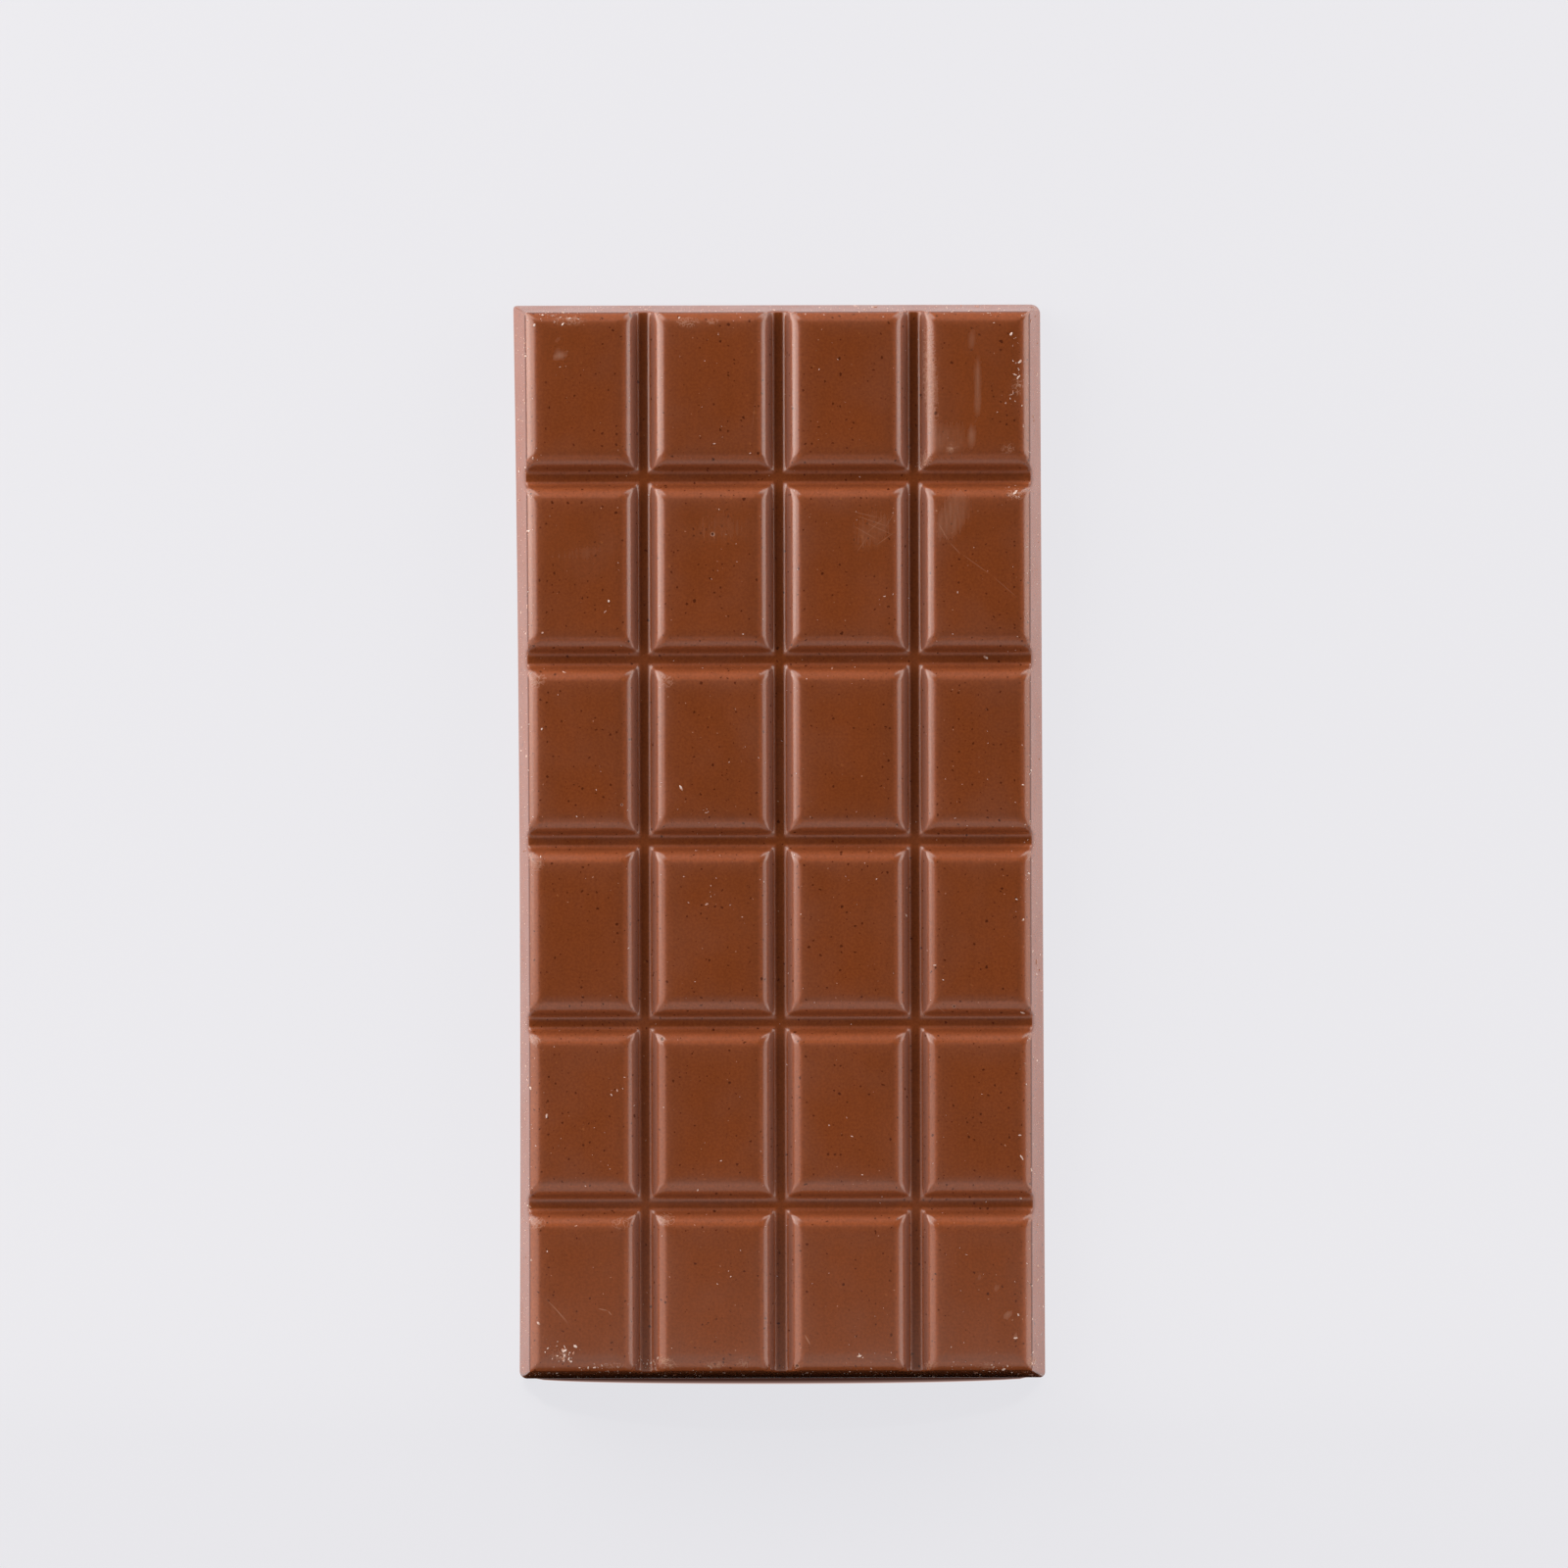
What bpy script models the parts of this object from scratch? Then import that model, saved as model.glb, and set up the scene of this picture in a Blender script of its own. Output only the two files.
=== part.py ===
"""Moulded chocolate bar of pips, four across and six along, lying on its flat back.

The bar is one solid. Drafted side walls climb from the back outline to a crease, where a round shoulder
rolls over into the face. Straight grooves part the face into pips: a narrow flat floor, a hollow arc up
to the steepest point and a round shoulder out of it. They run out through the side walls.

Metres, +Z up. The origin is the middle of the back, the pips face +Z and the long side runs along Y.
"""

import math

import bmesh
import bpy

# The whole bar. Its outline is measured at the back, the widest level.
WIDTH = 0.0756
LENGTH = 0.1558
THICKNESS = 0.0080
CORNER_RADII = {(-1, 1): 0.00050, (1, 1): 0.00135, (-1, -1): 0.00110, (1, -1): 0.00080}

# Side walls, and the shoulder that turns from the flat face until it meets them at a crease.
SIDE_DRAFT = math.radians(14.6)
SIDE_SHOULDER = 0.0031
SIDE_SHOULDER_TURN = math.radians(45)

# Pips and the grooves between them. The two arcs of a groove meet at its steepest point.
COLUMNS = 4
ROWS = 6
PIP_PITCH_X = 0.0194
PIP_PITCH_Y = 0.0261
GROOVE_FLOOR = 0.0005
GROOVE_HOLLOW = 0.0011
GROOVE_SHOULDER = 0.0027
GROOVE_STEEPEST = math.radians(66)
GROOVE_DEPTH = (GROOVE_SHOULDER + GROOVE_HOLLOW) * (1 - math.cos(GROOVE_STEEPEST))
GROOVE_HALF_WIDTH = GROOVE_FLOOR / 2 + (GROOVE_SHOULDER + GROOVE_HOLLOW) * math.sin(GROOVE_STEEPEST)

# The arrises between one groove and another are rounded over this breadth of height at most. ARRIS_PEAK
# scales the taper along them so that it reaches 1 where they are roundest.
ARRIS_BLEND = 0.0015
ARRIS_PEAK = 27 / 4

SHOULDER_STEPS = 4
HOLLOW_STEPS = 2
WALL_STEPS = 4
SMOOTH_BELOW = math.radians(28)

COLOUR = (0.245, 0.062, 0.019, 1.0)
ROUGHNESS = 0.28


def arc(radius, turn, steps):
    """(out, drop) of points round a shoulder, from the edge of the flat face until it has turned so far."""
    turns = [turn * step / steps for step in range(steps + 1)]
    return [(radius * math.sin(angle), radius * (1 - math.cos(angle))) for angle in turns]


def groove_lines(centre):
    """(place, drop) of the lines along one groove, in order across it."""
    shoulder = arc(GROOVE_SHOULDER, GROOVE_STEEPEST, SHOULDER_STEPS)
    hollow = arc(GROOVE_HOLLOW, GROOVE_STEEPEST, HOLLOW_STEPS)[:-1]
    half = [(GROOVE_HALF_WIDTH - out, drop) for out, drop in shoulder]
    half += [(GROOVE_FLOOR / 2 + out, GROOVE_DEPTH - rise) for out, rise in hollow[::-1]]
    return [(centre - out, drop) for out, drop in half] + [(centre + out, drop) for out, drop in half[::-1]]


def side_lines(edge):
    """(place, drop) of the lines along the side wall that stands on edge, from the back up to the face."""
    shoulder = arc(SIDE_SHOULDER, SIDE_SHOULDER_TURN, SHOULDER_STEPS)
    crease_out, crease_drop = shoulder[-1]
    rises = [step / WALL_STEPS * (THICKNESS - GROOVE_DEPTH) for step in range(WALL_STEPS + 1)]
    half = [(rise * math.tan(SIDE_DRAFT), THICKNESS - rise) for rise in rises]
    crease = (THICKNESS - crease_drop) * math.tan(SIDE_DRAFT)
    half += [(crease + crease_out - out, drop) for out, drop in shoulder[::-1]]
    inward = -math.copysign(1, edge)
    return [(edge + inward * inset, drop) for inset, drop in half]


def section(size, count, pitch):
    """(place, drop, is_side) of every line across the bar, from the low side to the high side."""
    low = [(place, drop, True) for place, drop in side_lines(-size / 2)]
    high = [(place, drop, True) for place, drop in side_lines(size / 2)[::-1]]
    middle = []
    for groove in range(1, count):
        middle += [(place, drop, False) for place, drop in groove_lines((groove - count / 2) * pitch)]
    return low + middle + high


def blended(one, other):
    """The greater of two drops, with the arris where they meet rounded off.

    The rounding is broadest a third of the way down a groove, and dies out at the face and at the floor.
    """
    depth = min(one, other, GROOVE_DEPTH) / GROOVE_DEPTH
    breadth = ARRIS_BLEND * ARRIS_PEAK * depth * (1 - depth) ** 2
    if breadth <= abs(one - other):
        return max(one, other)
    return max(one, other) + (breadth - abs(one - other)) ** 2 / (4 * breadth)


def height(across, along):
    """Height of the surface where a line across the bar's width meets one along its length."""
    deepest = THICKNESS if across[2] or along[2] else GROOVE_DEPTH
    return THICKNESS - min(blended(across[1], along[1]), deepest)


def round_corner(x, y):
    """Pulls a point near an upright corner of the bar onto arcs about that corner's centre."""
    side = (math.copysign(1, x), math.copysign(1, y))
    radius = CORNER_RADII[side]
    out_x = abs(x) - (WIDTH / 2 - radius)
    out_y = abs(y) - (LENGTH / 2 - radius)
    if out_x <= 0 or out_y <= 0:
        return x, y
    pull = 1 - max(out_x, out_y) / math.hypot(out_x, out_y)
    return x - side[0] * out_x * pull, y - side[1] * out_y * pull


def add_face_and_sides(bm):
    """The moulded face and the drafted sides as one sheet. Returns its points in rows along X."""
    across = section(WIDTH, COLUMNS, PIP_PITCH_X)
    rows = []
    for line_y in section(LENGTH, ROWS, PIP_PITCH_Y):
        places = [(*round_corner(line_x[0], line_y[0]), height(line_x, line_y)) for line_x in across]
        rows.append([bm.verts.new(place) for place in places])
    for row, next_row in zip(rows, rows[1:]):
        for i in range(len(row) - 1):
            add_patch(bm, row[i], row[i + 1], next_row[i + 1], next_row[i])
    return rows


def add_patch(bm, a, b, c, d):
    """One patch of the sheet. A bent one is cut between its two corners of like height, along the arris."""
    bend = (b.co - a.co).cross(d.co - a.co).dot(c.co - a.co)
    if abs(bend) < 1e-15:
        bm.faces.new((a, b, c, d))
    elif abs(a.co.z - c.co.z) < abs(b.co.z - d.co.z):
        bm.faces.new((a, b, d))
        bm.faces.new((b, c, d))
    else:
        bm.faces.new((a, b, c))
        bm.faces.new((a, c, d))


def add_back(bm, rows):
    """The flat back that closes the sheet."""
    right = [row[-1] for row in rows]
    left = [row[0] for row in rows]
    outline = rows[0] + right[1:] + rows[-1][-2::-1] + left[-2:0:-1]
    bm.faces.new(outline[::-1])


def milk_chocolate():
    material = bpy.data.materials.new("milk_chocolate")
    material.use_nodes = True
    shader = material.node_tree.nodes["Principled BSDF"]
    shader.inputs["Base Color"].default_value = COLOUR
    shader.inputs["Roughness"].default_value = ROUGHNESS
    shader.inputs["Metallic"].default_value = 0.0
    material.diffuse_color = COLOUR
    return material


def chocolate_bar():
    bm = bmesh.new()
    add_back(bm, add_face_and_sides(bm))
    bmesh.ops.recalc_face_normals(bm, faces=bm.faces)
    mesh = bpy.data.meshes.new("chocolate_bar")
    bm.to_mesh(mesh)
    bm.free()
    mesh.shade_smooth()
    mesh.set_sharp_from_angle(angle=SMOOTH_BELOW)
    mesh.materials.append(milk_chocolate())
    bar = bpy.data.objects.new("chocolate_bar", mesh)
    bpy.context.scene.collection.objects.link(bar)


for old in list(bpy.data.objects):
    bpy.data.objects.remove(old)
chocolate_bar()
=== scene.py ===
"""A moulded milk chocolate bar lying on a pale table, seen from straight above its pips."""

import math

import bmesh
import bpy
import numpy as np
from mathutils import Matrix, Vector, noise


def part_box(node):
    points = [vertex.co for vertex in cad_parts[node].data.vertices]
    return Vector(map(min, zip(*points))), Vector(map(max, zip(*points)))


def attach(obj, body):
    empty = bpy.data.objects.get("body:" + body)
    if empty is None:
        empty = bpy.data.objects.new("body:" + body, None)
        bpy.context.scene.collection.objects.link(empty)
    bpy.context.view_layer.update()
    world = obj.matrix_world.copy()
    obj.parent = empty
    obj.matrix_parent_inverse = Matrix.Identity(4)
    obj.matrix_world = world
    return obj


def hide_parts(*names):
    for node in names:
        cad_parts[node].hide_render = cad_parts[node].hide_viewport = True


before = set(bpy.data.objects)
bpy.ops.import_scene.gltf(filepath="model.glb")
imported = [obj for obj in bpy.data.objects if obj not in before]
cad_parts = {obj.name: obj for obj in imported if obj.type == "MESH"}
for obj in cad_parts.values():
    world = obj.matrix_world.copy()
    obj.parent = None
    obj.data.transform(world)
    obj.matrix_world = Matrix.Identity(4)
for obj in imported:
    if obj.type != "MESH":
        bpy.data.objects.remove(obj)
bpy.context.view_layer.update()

# ---------------------------------------------------------------- camera
# A long lens on a stand above the table, looking straight down from a little to the right of the bar and
# a little below its middle, with the picture shifted back so that the bar sits where it should.
SENSOR = 0.036
CAMERA_HEIGHT = 0.658
VIEW_WIDTH = 0.2273
LOOK_AT = Vector((0.0005, 0.0082, 0.0))
STAND_RIGHT = 0.0080
STAND_DOWN = 0.0090
ROLL = math.radians(-0.14)

camera_data = bpy.data.cameras.new("camera")
camera_data.sensor_width = SENSOR * 1000
camera_data.lens = camera_data.sensor_width * CAMERA_HEIGHT / VIEW_WIDTH
camera_data.shift_x = -STAND_RIGHT / VIEW_WIDTH
camera_data.shift_y = STAND_DOWN / VIEW_WIDTH
camera_data.clip_start = 0.01
camera = bpy.data.objects.new("camera", camera_data)
camera.location = LOOK_AT + Vector((STAND_RIGHT, -STAND_DOWN, CAMERA_HEIGHT))
camera.rotation_euler = (0.0, 0.0, ROLL)
bpy.context.scene.collection.objects.link(camera)
bpy.context.scene.camera = camera
bpy.context.scene.view_settings.view_transform = "Standard"

# ---------------------------------------------------------------- the bar
# One piece of milk chocolate, cast in a polished mould that shapes the pips, grooves and sides, then
# scraped off level at the back. The geometry tree presses the mould's shape into a flat sheet.
low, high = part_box("chocolate_bar")
MM = 0.001
# The mould's sizes, each an input of its geometry tree. Top and bottom are the ends as the camera shows them.
BAR = {
    "Width": high.x - low.x,
    "Length": high.y - low.y,
    "Thickness": high.z - low.z,
    "Side draft": math.radians(14.6),
    "Side shoulder": 0.0031,
    "Side turn": math.radians(45),
    "Columns": 4,
    "Rows": 6,
    "Pitch across": 0.0194,
    "Pitch along": 0.0261,
    "Groove floor": 0.0005,
    "Groove hollow": 0.0011,
    "Groove shoulder": 0.0027,
    "Groove steepest": math.radians(66),
    "Lead radius": 0.0065,
    "Lead turn": math.radians(9),
    "Arris": 0.0014,
    "Groove lip": 0.0018,
    "Corner top left": 0.00050,
    "Corner top right": 0.00135,
    "Corner bottom left": 0.00110,
    "Corner bottom right": 0.00080,
    "Left bow": 0.00070,
    "Left bow middle": -0.025,
    "Right spread": 0.00037,
    "Top trim": 0.00027,
    "Top set back": 0.00035,
}
# How far apart the sheet's lines may be on a flat, and how many lines each curved or sloping stretch has.
FLAT_STEP = 0.00080
LINES = {"Hollow": 6, "Shoulder": 12, "Lead": 3, "Side wall": 11, "Side shoulder": 9}
# The coarser grid inside the back, in millimetres, and its waves as a share of the bar's thickness.
BACK_HALF_ACROSS = 36
BACK_HALF_ALONG = 76
BACK_STEP = 2
BACK_WAVES = 0.018
WAVES_PER_METRE = (25.0, 110.0)
# An edge that bends by more than this stays sharp.
SHARP_ABOVE = math.radians(40)
# Scales the taper of an arris so that it reaches 1 where the arris is roundest.
TAPER_PEAK = 27 / 4
# How far in from the outline the sides are off true, and how far from its middle the left side's bow is full.
EDGE_BAND = 0.0065
BOW_REACH = 0.1


class Wire:
    """A number on its way through a node tree. Arithmetic on it adds Math nodes to the tree."""

    def __init__(self, tree, socket):
        self.tree = tree
        self.socket = socket

    def math(self, operation, *others):
        node = self.tree.nodes.new("ShaderNodeMath")
        node.operation = operation
        for slot, value in zip(node.inputs, (self, *others)):
            feed(value, slot)
        return Wire(self.tree, node.outputs[0])

    def __add__(self, other):
        return self.math("ADD", other)

    def __sub__(self, other):
        return self.math("SUBTRACT", other)

    def __mul__(self, other):
        return self.math("MULTIPLY", other)

    def __truediv__(self, other):
        return self.math("DIVIDE", other)

    def __rsub__(self, other):
        return self * -1 + other

    __radd__ = __add__
    __rmul__ = __mul__

    def at_least(self, other):
        return self.math("MAXIMUM", other)

    def at_most(self, other):
        return self.math("MINIMUM", other)

    def above(self, other):
        return self.math("GREATER_THAN", other)

    def size(self):
        return self.math("ABSOLUTE")


def feed(value, slot):
    """Joins a wire to an input, or sets the input to a plain value."""
    if isinstance(value, Wire):
        value.tree.links.new(value.socket, slot)
    else:
        slot.default_value = value


def add_node(tree, kind, settings=(), **inputs):
    """A new node with its settings, and its inputs fed by name."""
    node = tree.nodes.new(kind)
    for name, value in dict(settings).items():
        setattr(node, name, value)
    for name, value in inputs.items():
        feed(value, node.inputs[name.replace("_", " ")])
    return node


def out(tree, node, name=0):
    """A wire from one of the node's outputs, by its name or number."""
    return Wire(tree, node.outputs[name])


def step(value, start, end, low=0.0, high=1.0):
    """A soft step: low where the value is at start, high where it is at end."""
    ramp = add_node(
        value.tree,
        "ShaderNodeMapRange",
        {"interpolation_type": "SMOOTHSTEP"},
        Value=value,
        From_Min=start,
        From_Max=end,
        To_Min=low,
        To_Max=high,
    )
    return out(value.tree, ramp)


def new_geometry_tree(name, sizes):
    """A geometry tree with one geometry in and out, and a named number input for each size."""
    tree = bpy.data.node_groups.new(name, "GeometryNodeTree")
    tree.interface.new_socket(name="Geometry", in_out="INPUT", socket_type="NodeSocketGeometry")
    tree.interface.new_socket(name="Geometry", in_out="OUTPUT", socket_type="NodeSocketGeometry")
    for size in sizes:
        tree.interface.new_socket(name=size, in_out="INPUT", socket_type="NodeSocketFloat")
    group_in = tree.nodes.new("NodeGroupInput")
    return tree, out(tree, group_in, "Geometry"), {size: out(tree, group_in, size) for size in sizes}


def close_tree(tree, geometry, material):
    """Ends the tree: real meshes, smooth but for their sharp edges, in their material."""
    real = add_node(tree, "GeometryNodeRealizeInstances", Geometry=geometry)
    smooth = add_node(tree, "GeometryNodeSetShadeSmooth", Geometry=out(tree, real))
    bend = out(tree, tree.nodes.new("GeometryNodeInputMeshEdgeAngle"), "Unsigned Angle")
    sharp = add_node(
        tree,
        "GeometryNodeSetShadeSmooth",
        {"domain": "EDGE"},
        Geometry=out(tree, smooth),
        Selection=bend.above(SHARP_ABOVE),
        Shade_Smooth=False,
    )
    coat = add_node(tree, "GeometryNodeSetMaterial", Geometry=out(tree, sharp), Material=material)
    add_node(tree, "NodeGroupOutput", Geometry=out(tree, coat))


def run_tree(piece, tree, sizes):
    """Runs the tree on the piece once and keeps the result as a plain mesh."""
    modifier = piece.modifiers.new(tree.name, "NODES")
    modifier.node_group = tree
    for socket in tree.interface.items_tree:
        if socket.in_out == "INPUT" and socket.name in sizes:
            modifier[socket.identifier] = float(sizes[socket.name])
    made = bpy.data.meshes.new_from_object(piece.evaluated_get(bpy.context.evaluated_depsgraph_get()))
    piece.modifiers.clear()
    piece.data = made


def sunk_arc(radius, into):
    """How far an arc of that radius has fallen, that far in from where it leaves the level."""
    return radius - (radius * radius - into * into).math("SQRT")


def shoulder_arc(into, radius, turn, s):
    """A shoulder's drop, fall and width: a long gentle arc off the level, then the shoulder's own arc."""
    lead, lead_turn = s["Lead radius"], s["Lead turn"]
    lead_width = lead * lead_turn.math("SINE")
    start = radius * lead_turn.math("SINE")
    width = radius * turn.math("SINE") - start
    fall = lead - lead * lead_turn.math("COSINE")
    fall = fall + radius * lead_turn.math("COSINE") - radius * turn.math("COSINE")
    beyond = (into - lead_width).at_least(0.0).at_most(width)
    own = sunk_arc(radius, start + beyond) - sunk_arc(radius, start)
    return sunk_arc(lead, into.at_least(0.0).at_most(lead_width)) + own, fall, width + lead_width


def groove_drop(from_middle, s):
    """A groove's drop: a flat floor, a hollow arc up to the steepest point, then the shoulder."""
    hollow, steepest = s["Groove hollow"], s["Groove steepest"]
    hollow_width = hollow * steepest.math("SINE")
    off_floor = (from_middle - s["Groove floor"] / 2.0).at_least(0.0).at_most(hollow_width)
    width = shoulder_arc(off_floor, s["Groove shoulder"], steepest, s)[2]
    into = s["Groove floor"] / 2.0 + hollow_width + width - from_middle
    drop = shoulder_arc(into, s["Groove shoulder"], steepest, s)[0]
    return drop + (hollow - hollow * steepest.math("COSINE")) - sunk_arc(hollow, off_floor)


def side_drop(from_outline, s):
    """The side's drop: a straight drafted wall up to a crease, then the shoulder into the face."""
    slope = s["Side draft"].math("TANGENT")
    fall, width = shoulder_arc(from_outline, s["Side shoulder"], s["Side turn"], s)[1:]
    crease = (s["Thickness"] - fall) * slope
    drop = shoulder_arc(crease + width - from_outline, s["Side shoulder"], s["Side turn"], s)[0]
    wall = s["Thickness"] - from_outline / slope
    return drop.at_least(wall)


def rounded_greater(one, other, depth, arris, lip=0.0):
    """The greater of two drops, with the edge between them rounded.

    The rounding keeps an even radius round a pip's shoulder. It tapers to the lip's down at the floor.
    """
    lesser = (one.at_most(other) / depth).at_least(0.0).at_most(1.0)
    above_floor = 1.0 - lesser
    taper = lesser * above_floor * above_floor * TAPER_PEAK
    return one.math("SMOOTH_MAX", other, arris * taper + lip * lesser * lesser + 1e-7)


def stored(tree, name):
    """A value stored on the points of the mesh."""
    node = add_node(tree, "GeometryNodeInputNamedAttribute", {"data_type": "FLOAT"}, Name=name)
    return out(tree, node, "Attribute")


def mould_tree(material):
    """Presses the pips, grooves and drafted sides into the sheet's face."""
    tree, sheet, s = new_geometry_tree("mould", BAR)
    position = out(tree, tree.nodes.new("GeometryNodeInputPosition"))
    place = add_node(tree, "ShaderNodeSeparateXYZ", Vector=position)
    x, y = out(tree, place, "X"), out(tree, place, "Y")
    grooves, sides = [], []
    for along, count, pitch, size in (
        (x, s["Columns"], s["Pitch across"], s["Width"]),
        (y, s["Rows"], s["Pitch along"], s["Length"]),
    ):
        last = count / 2.0 - 1.0
        nearest = (along / pitch).math("ROUND").at_least(last * -1.0).at_most(last)
        grooves.append(groove_drop((along - nearest * pitch).size(), s))
        sides.append(side_drop(size / 2.0 - along.size(), s))
    depth = (s["Groove shoulder"] + s["Groove hollow"]) * (1.0 - s["Groove steepest"].math("COSINE"))
    pips = rounded_greater(*grooves, depth, s["Arris"])
    side = rounded_greater(*sides, s["Thickness"], s["Arris"])
    drop = rounded_greater(pips, side, depth, s["Arris"], s["Groove lip"]).at_most(s["Thickness"])
    x, y = round_corners(x, y, s)
    x, y = uneven_sides(x, y, drop, s)
    height = (s["Thickness"] - drop) * stored(tree, "face")
    raised = add_node(tree, "ShaderNodeCombineXYZ", X=x, Y=y, Z=height)
    pressed = add_node(tree, "GeometryNodeSetPosition", Geometry=sheet, Position=out(tree, raised))
    close_tree(tree, out(tree, pressed), material)
    return tree


def round_corners(x, y, s):
    """Pulls the sheet near its upright corners onto arcs, each corner with its own radius."""
    right, upper = x.above(0.0), y.above(0.0)
    top = s["Corner top left"] + (s["Corner top right"] - s["Corner top left"]) * right
    bottom = s["Corner bottom left"] + (s["Corner bottom right"] - s["Corner bottom left"]) * right
    radius = bottom + (top - bottom) * upper
    out_x = (x.size() - s["Width"] / 2.0 + radius).at_least(0.0)
    out_y = (y.size() - s["Length"] / 2.0 + radius).at_least(0.0)
    from_centre = (out_x * out_x + out_y * out_y).math("SQRT").at_least(1e-9)
    pull = 1.0 - out_x.at_least(out_y) / from_centre
    return x - x.math("SIGN") * out_x * pull, y - y.math("SIGN") * out_y * pull


def near_edge(along, size):
    """1 at the two outlines across one direction, fading to 0 a little way in."""
    return step(size / 2.0 - along.size(), EDGE_BAND, 0.0)


def uneven_sides(x, y, drop, s):
    """The walls off true: the left side bows out at its ends, the right wall spreads, the top is set back."""
    below = (drop / s["Thickness"]).math("POWER", 1.5)
    is_right = x.above(0.0)
    off_middle = (y - s["Left bow middle"]) / BOW_REACH
    left = s["Left bow"] * off_middle * off_middle * (near_edge(x, s["Width"]) * 0.7 + below * 0.3)
    right = s["Right spread"] * (0.5 - y / s["Length"]) * below
    top = s["Top trim"] * below + s["Top set back"] * near_edge(y, s["Length"]) * (1.0 - below)
    return x - left * (1.0 - is_right) + right * is_right, y - top * y.above(0.0)


def spread(start, end, parts):
    """Places beyond start up to end, in equal parts."""
    return [start + (end - start) * part / parts for part in range(1, parts + 1)]


def sheet_lines(size, count, pitch):
    """Places of the sheet's lines along one direction: close together on arcs and walls, wide on flats."""
    steepest, lead = math.sin(BAR["Groove steepest"]), BAR["Lead radius"] * math.sin(BAR["Lead turn"])
    floor = BAR["Groove floor"] / 2
    hollow = floor + BAR["Groove hollow"] * steepest
    shoulder = hollow + BAR["Groove shoulder"] * (steepest - math.sin(BAR["Lead turn"]))
    half_groove = [0.0, floor] + spread(floor, hollow, LINES["Hollow"])
    half_groove += spread(hollow, shoulder, LINES["Shoulder"])
    half_groove += spread(shoulder, shoulder + lead, LINES["Lead"])
    fall = (BAR["Lead radius"] - BAR["Side shoulder"]) * (1 - math.cos(BAR["Lead turn"]))
    fall += BAR["Side shoulder"] * (1 - math.cos(BAR["Side turn"]))
    crease = (BAR["Thickness"] - fall) * math.tan(BAR["Side draft"])
    shoulder = crease + BAR["Side shoulder"] * (math.sin(BAR["Side turn"]) - math.sin(BAR["Lead turn"]))
    side = [0.0] + spread(0.0, crease, LINES["Side wall"]) + spread(crease, shoulder, LINES["Side shoulder"])
    side += spread(shoulder, shoulder + lead, LINES["Lead"])
    groups = [[inset - size / 2 for inset in side]]
    for index in range(1, count):
        centre = (index - count / 2) * pitch
        groups.append([centre - off for off in half_groove[::-1]] + [centre + off for off in half_groove[1:]])
    groups.append([size / 2 - inset for inset in side[::-1]])
    lines = groups[0]
    for group in groups[1:]:
        flat = group[0] - lines[-1]
        lines = lines + spread(lines[-1], group[0], math.ceil(flat / FLAT_STEP))[:-1] + group
    return lines


def around(rows):
    """The points round the rim of a grid of rows, in order."""
    return rows[0] + [row[-1] for row in rows[1:]] + rows[-1][-2::-1] + [row[0] for row in rows[-2:0:-1]]


def add_back(bm, outline, face_value):
    """The scraped back: a level rim, and inside it a coarser sheet with the scraper's slight waves."""
    across = [x * MM for x in range(-BACK_HALF_ACROSS, BACK_HALF_ACROSS + 1, BACK_STEP)]
    along = [y * MM for y in range(-BACK_HALF_ALONG, BACK_HALF_ALONG + 1, BACK_STEP)]
    rows = [[bm.verts.new((x, y, 0.0)) for x in across] for y in along]
    for row, above in zip(rows, rows[1:]):
        for i in range(len(row) - 1):
            bm.faces.new((row[i], above[i], above[i + 1], row[i + 1]))
    for row in rows[1:-1]:
        for vert in row[1:-1]:
            waves = noise.noise(Vector((vert.co.x * WAVES_PER_METRE[0], vert.co.y * WAVES_PER_METRE[1], 3.0)))
            vert[face_value] = BACK_WAVES * (0.5 + 0.5 * waves)
    rims = []
    for ring in (outline, around(rows)):
        for one, other in zip(ring, ring[1:] + ring[:1]):
            rims.append(bm.edges.get((one, other)) or bm.edges.new((one, other)))
    down = (0.0, 0.0, -1.0)
    made = bmesh.ops.triangle_fill(bm, use_beauty=True, use_dissolve=False, edges=rims, normal=down)
    for item in made["geom"]:
        if isinstance(item, bmesh.types.BMFace) and item.normal.z > 0.0:
            item.normal_flip()


def flat_sheet():
    """A flat double sheet, face and back, that share their outline. The face value is 1 on the face."""
    bm = bmesh.new()
    face_value = bm.verts.layers.float.new("face")
    across = sheet_lines(BAR["Width"], BAR["Columns"], BAR["Pitch across"])
    along = sheet_lines(BAR["Length"], BAR["Rows"], BAR["Pitch along"])
    rows = [[bm.verts.new((x, y, 0.0)) for x in across] for y in along]
    for row in rows:
        for vert in row:
            vert[face_value] = 1.0
    for row, above in zip(rows, rows[1:]):
        for i in range(len(row) - 1):
            bm.faces.new((row[i], row[i + 1], above[i + 1], above[i]))
    add_back(bm, around(rows), face_value)
    mesh = bpy.data.meshes.new("chocolate")
    bm.to_mesh(mesh)
    bm.free()
    return mesh


def painted(tree, name):
    """A value painted on the points of the bar."""
    return out(tree, add_node(tree, "ShaderNodeAttribute", {"attribute_name": name}), "Fac")


def blend(tree, share, one, other):
    """The first colour, with that share of the second mixed in."""
    node = add_node(tree, "ShaderNodeMix", {"data_type": "RGBA"}, Factor=share)
    feed(one, node.inputs[6])
    feed(other, node.inputs[7])
    return out(tree, node, 2)


def mottle(tree, place, size, detail=2.0, stretch=(1.0, 1.0, 1.0)):
    """Uneven cloudiness around 0.5, with patches of about that size."""
    sized = add_node(tree, "ShaderNodeMapping", {"vector_type": "POINT"}, Vector=place)
    sized.inputs["Scale"].default_value = [part / size for part in stretch]
    clouds = add_node(tree, "ShaderNodeTexNoise", Vector=out(tree, sized), Scale=1.0, Detail=detail)
    return out(tree, clouds, "Fac")


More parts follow.
